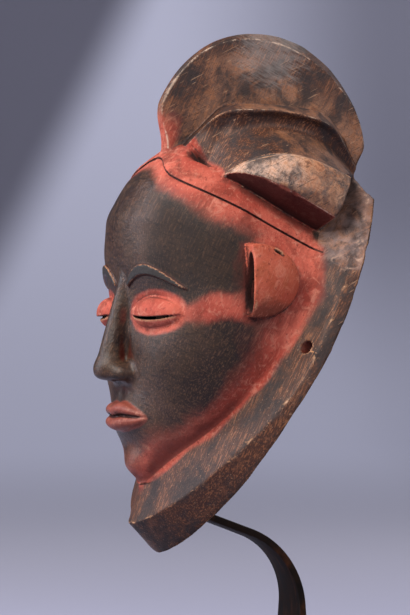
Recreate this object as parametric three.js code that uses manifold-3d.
// A carved wooden face mask of the Punu kind, held tilted on a bent steel bar with a steel foot.
// Millimetres. +Z is up, the face looks along -Y, and the wearer's left is +X.
// The origin is the middle of the foot's underside.
//
// The mask is carved in its own upright frame: its back lies near the plane y = 0, and z runs
// up from the lowest point of the collar. The head inside it leans forward by LEAN, so that the
// face stands upright once the whole mask is tipped back by LEAN on its bar.

import * as THREE from "three";
import { mergeVertices } from "three/addons/utils/BufferGeometryUtils.js";
import Module from "manifold-3d";

const wasm = await Module();
wasm.setup();

// Driving dimensions of the mask: its rim, its walls and its hollow
const LEAN = THREE.MathUtils.degToRad(27.7);
const RIM = { halfWidth: 94, middle: 140, upper: 151, shoulder: 275.6, shoulderFall: 0.405, band: 34 };
const COLLAR = { depth: 28.5, reach: 125, cutBack: 7 };
const SWEEP = 2.5;
const WALL = 12;
const BOWL = { halfWidth: 69, depth: 36, halfHeight: 94, y: 3, z: 112 };
const LACE_HOLE = { radius: 3, x: 84, z: 141 };

// Driving dimensions of the head, in the upright face frame. The head is 1.5 times as tall as
// wide, and from brow to nose base is as far as from there to the chin.
const CHIN = 43;
const EAR_LEVEL = 150;
const HEAD_TOP = 262;
const HEAD_HALF_WIDTH = 73;
const HEAD_CENTRE_DEPTH = 30;
const BROW_LEVEL = 170;
const EYE_LEVEL = 148;
const MOUTH_LEVEL = 85.5;
const EAR = { front: 30, back: 54, low: 146, high: 187, fullest: 164, inside: 62, thick: 18, bevel: 2.5 };

// Driving dimensions of the coiffure
const HAIRLINE = { z: 201.5, peak: 11, peakWidth: 26, step: 3 };
const CREST = { radius: 71.5, y: -58.5, z: 253, frontHalf: 3, backHalf: 20, edgeHalf: 2.5, bevel: 7.5 };
const TRESS = { length: 107.5, foot: 206, frontX: 19, frontZ: 229, swell: 24, climb: 37, rise: 0.17 };
const LOBE = { length: 68, tipX: 50, tipY: -89, tipZ: 217, topX: 20, topZ: 34, lowX: 24.5, lowZ: 5.5 };

// Driving dimensions of the stand
const FOOT = { width: 140, depth: 170, height: 8, chamfer: 1.5 };
const BAR = { thick: 4.5, lowWidth: 34, highWidth: 15, behindCollar: 91, uprightTop: -33, taperTop: 16 };
const BAR_BENDS = { lowRadius: 48, lowTurn: 70, slope: 38, highRadius: 22, highTurn: 60.5, tip: 120 };
const COLLAR_HEIGHT = 105;
const FOOT_AHEAD = 62;
const GAP = 0.3;

// Shared shape tools

const lerp = THREE.MathUtils.lerp;
const smoothstep = THREE.MathUtils.smoothstep;
const clamp = THREE.MathUtils.clamp;

// A closed solid through rings of equal length, capped at both ends.
function loft(rings) {
  const size = rings[0].length;
  const points = rings.flat();
  const faces = [];
  for (let r = 0; r + 1 < rings.length; r++)
    for (let i = 0; i < size; i++) {
      const a = r * size + i;
      const b = r * size + ((i + 1) % size);
      faces.push(a, b, b + size, a, b + size, a + size);
    }
  for (const [first, turn] of [[0, 1], [(rings.length - 1) * size, -1]]) {
    const middle = new THREE.Vector3();
    for (let i = 0; i < size; i++) middle.addScaledVector(points[first + i], 1 / size);
    const hub = points.push(middle) - 1;
    for (let i = 0; i < size; i++) {
      const a = first + i;
      const b = first + ((i + 1) % size);
      if (turn > 0) faces.push(hub, b, a);
      else faces.push(hub, a, b);
    }
  }
  const geometry = new THREE.BufferGeometry().setFromPoints(points);
  geometry.setIndex(faces);
  return geometry;
}

// Six times the signed volume: negative where the faces point inwards.
function signedVolume(geometry) {
  const p = geometry.getAttribute("position");
  const corner = (i) => new THREE.Vector3().fromBufferAttribute(p, geometry.index.getX(i));
  let sum = 0;
  for (let i = 0; i < geometry.index.count; i += 3)
    sum += corner(i).dot(corner(i + 1).cross(corner(i + 2)));
  return sum;
}

// A geometry as a solid that can be joined and cut.
function solid(geometry) {
  const bare = geometry.clone();
  bare.deleteAttribute("normal");
  bare.deleteAttribute("uv");
  const merged = mergeVertices(bare, 1e-4);
  const triVerts = new Uint32Array(merged.index.array);
  if (signedVolume(merged) < 0)
    for (let i = 0; i < triVerts.length; i += 3)
      [triVerts[i + 1], triVerts[i + 2]] = [triVerts[i + 2], triVerts[i + 1]];
  const vertProperties = merged.getAttribute("position").array;
  return new wasm.Manifold(new wasm.Mesh({ numProp: 3, vertProperties, triVerts }));
}

// A solid turned back into a geometry.
function geometryOf(made) {
  const mesh = made.getMesh();
  const geometry = new THREE.BufferGeometry();
  geometry.setAttribute("position", new THREE.BufferAttribute(mesh.vertProperties, 3));
  geometry.setIndex(new THREE.BufferAttribute(mesh.triVerts, 1));
  geometry.computeVertexNormals();
  return geometry;
}

function mirrored(geometry) {
  return geometry.clone().scale(-1, 1, 1);
}

// From the upright face frame into the mask's own frame.
function leaned(geometry) {
  return geometry.rotateX(LEAN);
}

// The head: level sections through an egg, each a soft ellipse in front and straight behind

// At the mouth the jaw is three quarters of the face's width.
function headHalfWidth(z) {
  const reach = z < EAR_LEVEL ? EAR_LEVEL - CHIN : HEAD_TOP - EAR_LEVEL;
  const share = clamp(Math.abs(z - EAR_LEVEL) / reach, 0, 1);
  const width = z < EAR_LEVEL ? (1 - share ** 2) ** 0.6 : (1 - share ** 2.2) ** 0.65;
  return HEAD_HALF_WIDTH * width;
}

// The front of the head on its middle line, without nose or lips.
const headProfile = new THREE.CatmullRomCurve3(
  [[-8, 41], [-18, 56], [-22, 78], [-24, 106], [-25, 135], [-25, 165], [-28, 186], [-28, 208],
   [-19, 230], [-3, 246], [28, 264]].map(([y, z]) => new THREE.Vector3(0, y, z)),
);

function headFront(z) {
  let low = 0;
  let high = 1;
  for (let i = 0; i < 24; i++) {
    const middle = (low + high) / 2;
    if (headProfile.getPoint(middle).z < z) low = middle;
    else high = middle;
  }
  return headProfile.getPoint(low).y;
}

function headSection(z, inset) {
  const half = Math.max(headHalfWidth(z) - inset, 1);
  const front = headFront(z) + inset;
  const centre = Math.max(HEAD_CENTRE_DEPTH, front + 4);
  const back = centre + z * Math.tan(LEAN) + 30;
  const narrowing = 0.25 * smoothstep(z, 165, 215);
  const ring = [];
  const steps = 22;
  for (let i = 0; i <= steps; i++) {
    const t = (Math.PI * i) / steps;
    const x = -half * Math.sign(Math.cos(t)) * Math.abs(Math.cos(t)) ** 0.9;
    ring.push(new THREE.Vector3(x, centre - (centre - front) * Math.sin(t) ** 0.87, z));
  }
  const wall = [0.25, 0.5, 1].map((share) => {
    const run = share * (back - centre);
    return new THREE.Vector3(Math.max(half - narrowing * run, 1), centre + run, z);
  });
  ring.push(...wall, ...wall.map((v) => new THREE.Vector3(-v.x, v.y, v.z)).reverse());
  return ring;
}

// The head grown or shrunk by inset, from just above the chin to just under its top.
function head(inset) {
  const low = CHIN + Math.max(inset, 0) + 1;
  const high = HEAD_TOP - 2 - inset;
  const levels = 24;
  const rings = [];
  for (let i = 0; i <= levels; i++) {
    const level = lerp(CHIN, HEAD_TOP, (1 - Math.cos((Math.PI * i) / levels)) / 2);
    if (level > low + 1 && level < high - 1) rings.push(headSection(level, inset));
  }
  return leaned(loft([headSection(low, inset), ...rings, headSection(high, inset)]));
}

// The rim: a flat oval flange round the face, deep and blunt at the collar, thin at the sides

// A point on the rim's outline. Angle 0 is the wearer's left, and a quarter turn is the top.
function rimOutline(angle) {
  const side = Math.cos(angle);
  const up = Math.sin(angle);
  const taper = up < 0 ? 1.22 : 1;
  const reach = up < 0 ? RIM.middle : RIM.upper;
  const x = RIM.halfWidth * Math.sign(side) * Math.abs(side) ** taper;
  const shoulder = RIM.shoulder - RIM.shoulderFall * Math.abs(x);
  return new THREE.Vector2(x, Math.min(RIM.middle + reach * up, shoulder));
}

// How far the back stands behind the plane y = 0: the sides sweep back a little.
function backSweep(x) {
  return SWEEP * (x / RIM.halfWidth) ** 2;
}

// How deep the rim is at its ridge. The wearer's right of the collar is cut back a little more.
function ridgeDepth(x, z) {
  const sideDepth = 2;
  const fall = Math.max(1 - z / COLLAR.reach, 0);
  const cutBack = COLLAR.cutBack * smoothstep(-x, -2, 30) * fall;
  return sideDepth + (COLLAR.depth - sideDepth) * fall ** 1.25 - cutBack;
}

// Rings of the outline from behind the back, over the ridge and down the front to the head.
function rim() {
  const stations = 56;
  const centre = new THREE.Vector2(0, RIM.middle);
  const rings = [[], [], [], [], []];
  for (let i = 0; i < stations; i++) {
    const edge = rimOutline((2 * Math.PI * (i + 0.5)) / stations);
    const inwards = centre.clone().sub(edge).normalize();
    const ridgeInset = 3 + 4.9 * Math.max(1 - edge.y / 110, 0);
    const ridge = edge.clone().addScaledVector(inwards, ridgeInset);
    const crease = edge.clone().addScaledVector(inwards, RIM.band);
    const core = edge.clone().addScaledVector(inwards, RIM.band + 22);
    const slope = 0.3 + 0.27 * smoothstep(edge.y, 0, 60);
    const depth = ridgeDepth(ridge.x, ridge.y);
    const creaseDepth = depth + slope * (RIM.band - ridgeInset);
    rings[0].push(new THREE.Vector3(edge.x, 30, edge.y));
    rings[1].push(new THREE.Vector3(edge.x, backSweep(edge.x) - 1, edge.y));
    rings[2].push(new THREE.Vector3(ridge.x, -depth, ridge.y));
    rings[3].push(new THREE.Vector3(crease.x, -creaseDepth, crease.y));
    rings[4].push(new THREE.Vector3(core.x, -creaseDepth, core.y));
  }
  return loft(rings);
}

// The rim's outline as a block, a shade smaller: the head and its cap stay inside it.
function outlineBlock() {
  const points = [];
  const stations = 80;
  const centre = new THREE.Vector2(0, RIM.middle);
  for (let i = 0; i < stations; i++)
    points.push(rimOutline((2 * Math.PI * i) / stations).lerp(centre, 0.02));
  const block = new THREE.ExtrudeGeometry(new THREE.Shape(points), { depth: 220, bevelEnabled: false });
  return block.rotateX(Math.PI / 2).translate(0, 40, 0);
}

// Everything behind the mask's back, to be cut away.
function behindBack() {
  const reach = 140;
  const shape = new THREE.Shape();
  shape.moveTo(-reach, 200);
  for (let x = -reach; x <= reach; x += 10) shape.lineTo(x, backSweep(x));
  shape.lineTo(reach, 200);
  shape.closePath();
  const block = new THREE.ExtrudeGeometry(shape, { depth: 420, bevelEnabled: false });
  return block.translate(0, 0, -40);
}

// The shallow bowl of the hollow, which opens to the back inside the rim.
function bowl() {
  const egg = new THREE.SphereGeometry(1, 32, 20);
  return egg.scale(BOWL.halfWidth, BOWL.depth, BOWL.halfHeight).translate(0, BOWL.y, BOWL.z);
}

// A lacing hole through the rim beside the jaw.
function laceHole() {
  const drill = new THREE.CylinderGeometry(LACE_HOLE.radius, LACE_HOLE.radius, 60, 16);
  return drill.translate(LACE_HOLE.x, 0, LACE_HOLE.z);
}

// The coiffure: a cap with a lower edge that steps out from the forehead, a tall crest,
// and on each side a raised tress over a lobe that juts out above the temple

// Everything above the hairline, which rises to a soft point over the forehead.
function hairlineBlock() {
  const reach = 110;
  const shape = new THREE.Shape();
  shape.moveTo(-reach, 400);
  for (let x = -reach; x <= reach; x += 5)
    shape.lineTo(x, HAIRLINE.z + HAIRLINE.peak * Math.exp(-((x / HAIRLINE.peakWidth) ** 2)));
  shape.lineTo(reach, 400);
  shape.closePath();
  const block = new THREE.ExtrudeGeometry(shape, { depth: 260, bevelEnabled: false });
  return block.rotateX(Math.PI / 2).translate(0, 60, 0);
}

// The crest's outline seen from the side: a disc, fuller at the back and drawn in low in front.
// Angle 0 points to the back and a quarter turn points up.
function crestOutline(angle, inset) {
  const fuller = 2 * smoothstep(-angle, -1.2, -0.6);
  const drawnIn = 8 * smoothstep(angle, 3.2, 3.6);
  const r = CREST.radius + fuller - drawnIn - inset;
  return new THREE.Vector2(CREST.y + r * Math.cos(angle), CREST.z + r * Math.sin(angle));
}

// Half the crest's thickness at its flat flank: a wedge, sharp in front and broad at the back.
function crestHalf(y) {
  const share = clamp(1 + y / 130, 0, 1);
  return lerp(CREST.frontHalf, CREST.backHalf, share ** 1.15);
}

function crest() {
  const stations = 44;
  const flank = [];
  const edge = [];
  for (let i = 0; i < stations; i++) {
    const angle = (2 * Math.PI * i) / stations - 0.6;
    const outer = crestOutline(angle, 0);
    const inner = crestOutline(angle, lerp(1, CREST.bevel, smoothstep(outer.x, -130, -45)));
    edge.push(new THREE.Vector3(CREST.edgeHalf, outer.x, outer.y));
    flank.push(new THREE.Vector3(crestHalf(inner.x), inner.x, inner.y));
  }
  const flipped = (ring) => ring.map((v) => new THREE.Vector3(-v.x, v.y, v.z));
  return loft([flank, edge, flipped(edge), flipped(flank)]);
}

// How far a curve has risen towards 1 after a given run.
function eased(run, length) {
  return 1 - Math.exp(-run / length);
}

// The tress: its ridge climbs steeply from the hairline, runs back along the crest and fades.
function tress() {
  const rings = [];
  const stations = 16;
  for (let i = 0; i <= stations; i++) {
    const run = TRESS.length * (i / stations) ** 1.4;
    const fade = smoothstep(run, 62, TRESS.length);
    const top = TRESS.frontZ + TRESS.climb * eased(run, 7.5) + TRESS.rise * run - 16 * fade;
    const out = TRESS.frontX + TRESS.swell * eased(run, 14) - 18 * fade;
    const at = (x, z) => new THREE.Vector3(x, run - TRESS.length, z);
    rings.push([
      at(0, TRESS.foot),
      at(out + 5, TRESS.foot),
      at(out - 1, lerp(TRESS.foot, top, 0.5)),
      at(out - 1, top - 3),
      at(out, top),
      at(out - 9, top + 3),
      at(0, top + 4),
    ]);
  }
  return loft(rings);
}

// The lobe: a leaf that starts in a point over the temple and is cut square behind.
function lobe() {
  const rings = [];
  const stations = 12;
  for (let i = 0; i <= stations; i++) {
    const run = LOBE.length * (i / stations) ** 1.3;
    const at = (x, z) => new THREE.Vector3(x, LOBE.tipY + run, z);
    const top = at(LOBE.tipX + LOBE.topX * eased(run, 18), LOBE.tipZ + 0.2 + LOBE.topZ * eased(run, 17));
    const low = at(LOBE.tipX + LOBE.lowX * eased(run, 13), LOBE.tipZ + LOBE.lowZ * eased(run, 5));
    const middle = top.clone().lerp(low, 0.45).add(new THREE.Vector3(1.5 * eased(run, 12), 0, 0));
    const undercut = at(LOBE.tipX - 4 + 0.18 * run, LOBE.tipZ - 3);
    rings.push([at(20, TRESS.foot), undercut, low, middle, top, at(20, top.z + 1)]);
  }
  return loft(rings);
}

// The face: calm and plain, eyes about a fifth of its width apart, the mouth a third of the way
// from nose base to chin

// The nose from its root to its base: height, half width, and how far it stands out.
const NOSE = [[166, 6, 0.5], [150, 8, 6], [136, 10, 12], [121.5, 13, 17], [111.5, 17, 20], [107, 16, 15]];

function nose() {
  const rings = NOSE.map(([z, half, out]) => {
    const face = headFront(z);
    const at = (x, y) => new THREE.Vector3(x, y, z);
    const left = [at(half * 0.55, face - out * 0.72), at(half, face - out * 0.15), at(half + 3, face + 9)];
    const right = left.map((v) => new THREE.Vector3(-v.x, v.y, v.z)).reverse();
    return [...right, at(0, face - out), ...left];
  });
  return leaned(loft(rings));
}

// Where the head's front lies at a given height and distance from the middle.
function faceDepth(x, z) {
  const share = Math.min(Math.abs(x) / headHalfWidth(z), 0.995);
  const reach = HEAD_CENTRE_DEPTH - headFront(z);
  return HEAD_CENTRE_DEPTH - reach * (1 - share ** 2.25) ** 0.44;
}

// A band laid across the face: brows, eyelids and lips are all made this way. Its section is
// a flat oval, whose front stands out by out and whose back is sunk into the face.
function faceBand(from, to, section) {
  const steps = 12;
  const corners = 8;
  const sunk = 6;
  const rings = [];
  for (let i = 0; i <= steps; i++) {
    const x = lerp(from, to, i / steps);
    const { middle, half, out } = section(Math.max(Math.sin((Math.PI * i) / steps), 0.02));
    const around = [];
    for (let k = 0; k < corners; k++) {
      const t = (2 * Math.PI * k) / corners;
      const forward = Math.sin(t) > 0 ? out * Math.sin(t) : sunk * Math.sin(t);
      around.push(new THREE.Vector3(x, faceDepth(x, middle) - forward, middle + half * Math.cos(t)));
    }
    rings.push(around);
  }
  return leaned(loft(rings));
}

// Each of these is told how full the band is: 0 at its ends and 1 in its middle.

function eyelid() {
  return faceBand(12, 56, (full) => ({
    middle: EYE_LEVEL,
    half: 10.5 * full ** 0.7,
    out: 7 * full ** 0.8 - 1.5,
  }));
}

function brow() {
  return faceBand(8, 59, (full) => ({
    middle: BROW_LEVEL - 3 + 9 * full,
    half: 3.4 * full ** 0.5,
    out: 4 * full ** 0.6 - 1.5,
  }));
}

function upperLip() {
  return faceBand(-25, 25, (full) => ({
    middle: MOUTH_LEVEL + 5.5,
    half: 6.5 * full ** 0.6,
    out: 14 * full ** 0.8 - 1.5,
  }));
}

function lowerLip() {
  return faceBand(-23, 23, (full) => ({
    middle: MOUTH_LEVEL - 6.5,
    half: 6.5 * full ** 0.6,
    out: 13.5 * full ** 0.8 - 1.5,
  }));
}

// A narrow slit right through the wall of the eye.
function eyeSlit() {
  const shape = new THREE.Shape();
  shape.moveTo(17, EYE_LEVEL - 2);
  shape.quadraticCurveTo(34, EYE_LEVEL + 0.6, 50, EYE_LEVEL - 1);
  shape.quadraticCurveTo(34, EYE_LEVEL - 4.4, 17, EYE_LEVEL - 2);
  const slit = new THREE.ExtrudeGeometry(shape, { depth: 90, bevelEnabled: false, curveSegments: 6 });
  return leaned(slit.rotateX(Math.PI / 2).translate(0, 50, 0));
}

// The ear: half a disc standing off the temple, straight in front and hollowed there.
function ear() {
  const { front, back, low, high, fullest, inside, thick, bevel } = EAR;
  const shape = new THREE.Shape();
  shape.moveTo(front, low);
  shape.lineTo(front, high);
  shape.bezierCurveTo(front + 10, high + 1, back, fullest + 12, back, fullest);
  shape.bezierCurveTo(back, fullest - 9, front + 12, low, front, low);
  const options = { depth: thick, bevelSize: bevel, bevelThickness: bevel, bevelSegments: 2 };
  const slab = new THREE.ExtrudeGeometry(shape, { ...options, curveSegments: 8 });
  const [x, y, z] = [new THREE.Vector3(1, 0, 0), new THREE.Vector3(0, 1, 0), new THREE.Vector3(0, 0, 1)];
  return leaned(slab.applyMatrix4(new THREE.Matrix4().makeBasis(y, z, x)).translate(inside, 0, 0));
}

function earHollow() {
  const cup = new THREE.SphereGeometry(1, 16, 10);
  return leaned(cup.scale(5, 11, 17).translate(76.5, EAR.front - 2, EAR.fullest + 1));
}

// The mask as one carving

function bothSides(geometry) {
  return solid(geometry).add(solid(mirrored(geometry)));
}

function carveMask() {
  const aboveHairline = solid(hairlineBlock());
  const cap = solid(head(-HAIRLINE.step)).intersect(aboveHairline);
  const skull = solid(head(0)).add(cap).intersect(solid(outlineBlock()));
  const inMiddle = [rim(), crest(), nose(), upperLip(), lowerLip()].map(solid);
  const inPairs = [tress(), lobe(), ear(), eyelid(), brow()].map(bothSides);
  const hollow = [solid(head(WALL)).subtract(aboveHairline), solid(bowl()), solid(behindBack())];
  const pierced = [eyeSlit(), earHollow(), laceHole()].map(bothSides);
  const whole = [...inMiddle, ...inPairs].reduce((sum, piece) => sum.add(piece), skull);
  const carved = [...hollow, ...pierced].reduce((left, piece) => left.subtract(piece), whole);
  // Slivers where two surfaces all but touch are dropped: the carving is the one large body.
  return carved.decompose().sort((a, b) => b.volume() - a.volume())[0];
}

// The stand: a flat bar that rises from the foot, bends over behind the collar and runs on
// up into the hollow of the mask, where its tip leans against the inside of the forehead

// The bar's middle line as stops: y, z, and how far it has turned forward from upright.
function barLine() {
  const line = [];
  const at = { y: BAR.behindCollar, z: FOOT.height + GAP - COLLAR_HEIGHT, turn: 0 };
  const stop = () => line.push({ ...at });
  const straight = (length) => {
    at.y -= length * Math.sin(at.turn);
    at.z += length * Math.cos(at.turn);
    stop();
  };
  const bend = (radius, degrees) => {
    const steps = Math.round(Math.abs(degrees) / 7);
    const part = THREE.MathUtils.degToRad(degrees) / steps;
    for (let i = 0; i < steps; i++) {
      at.turn += part / 2;
      const chord = 2 * radius * Math.sin(Math.abs(part) / 2);
      at.y -= chord * Math.sin(at.turn);
      at.z += chord * Math.cos(at.turn);
      at.turn += part / 2;
      stop();
    }
  };
  stop();
  straight(BAR.uprightTop - at.z);
  bend(BAR_BENDS.lowRadius, BAR_BENDS.lowTurn);
  straight(BAR_BENDS.slope);
  bend(BAR_BENDS.highRadius, -BAR_BENDS.highTurn);
  straight(BAR_BENDS.tip);
  return line;
}

function bar() {
  const rings = barLine().map(({ y, z, turn }) => {
    const taper = clamp((z - BAR.uprightTop + 12) / (BAR.taperTop - BAR.uprightTop + 12), 0, 1);
    const half = lerp(BAR.lowWidth, BAR.highWidth, taper) / 2;
    const across = new THREE.Vector3(0, Math.cos(turn), Math.sin(turn)).multiplyScalar(BAR.thick / 2);
    const middle = new THREE.Vector3(0, y, z);
    return [[-half, -1], [half, -1], [half, 1], [-half, 1]].map(([x, side]) =>
      middle.clone().addScaledVector(across, side).setX(x));
  });
  return loft(rings);
}

// A plain plate with a small chamfer round its top.
function foot() {
  const { width, depth, height, chamfer } = FOOT;
  const ring = (inset, z) => {
    const x = width / 2 - inset;
    const y = depth / 2 - inset;
    return [[-x, -y], [x, -y], [x, y], [-x, y]].map(([px, py]) => new THREE.Vector3(px, py, z));
  };
  return loft([ring(0, 0), ring(0, height - chamfer), ring(chamfer, height)]);
}

// The whole object: the mask tipped back on the bar, and the bar standing on the foot

const group = new THREE.Group();

const carvedWood = new THREE.MeshStandardMaterial({ color: "#5b3a2e", roughness: 0.55, metalness: 0 });
const bronzedSteel = new THREE.MeshStandardMaterial({ color: "#2a211c", roughness: 0.55, metalness: 0.7 });
const blackSteel = new THREE.MeshStandardMaterial({ color: "#201d1b", roughness: 0.65, metalness: 0.6 });

function place(name, made, material) {
  const mesh = new THREE.Mesh(geometryOf(made), material);
  mesh.name = name;
  group.add(mesh);
  return mesh;
}

const mask = place("mask", carveMask(), carvedWood);
mask.rotation.x = -LEAN;
mask.position.set(0, -FOOT_AHEAD, COLLAR_HEIGHT);

const standBar = place("stand_bar", solid(bar()), bronzedSteel);
standBar.position.copy(mask.position);

place("stand_foot", solid(foot()), blackSteel);

export default group;
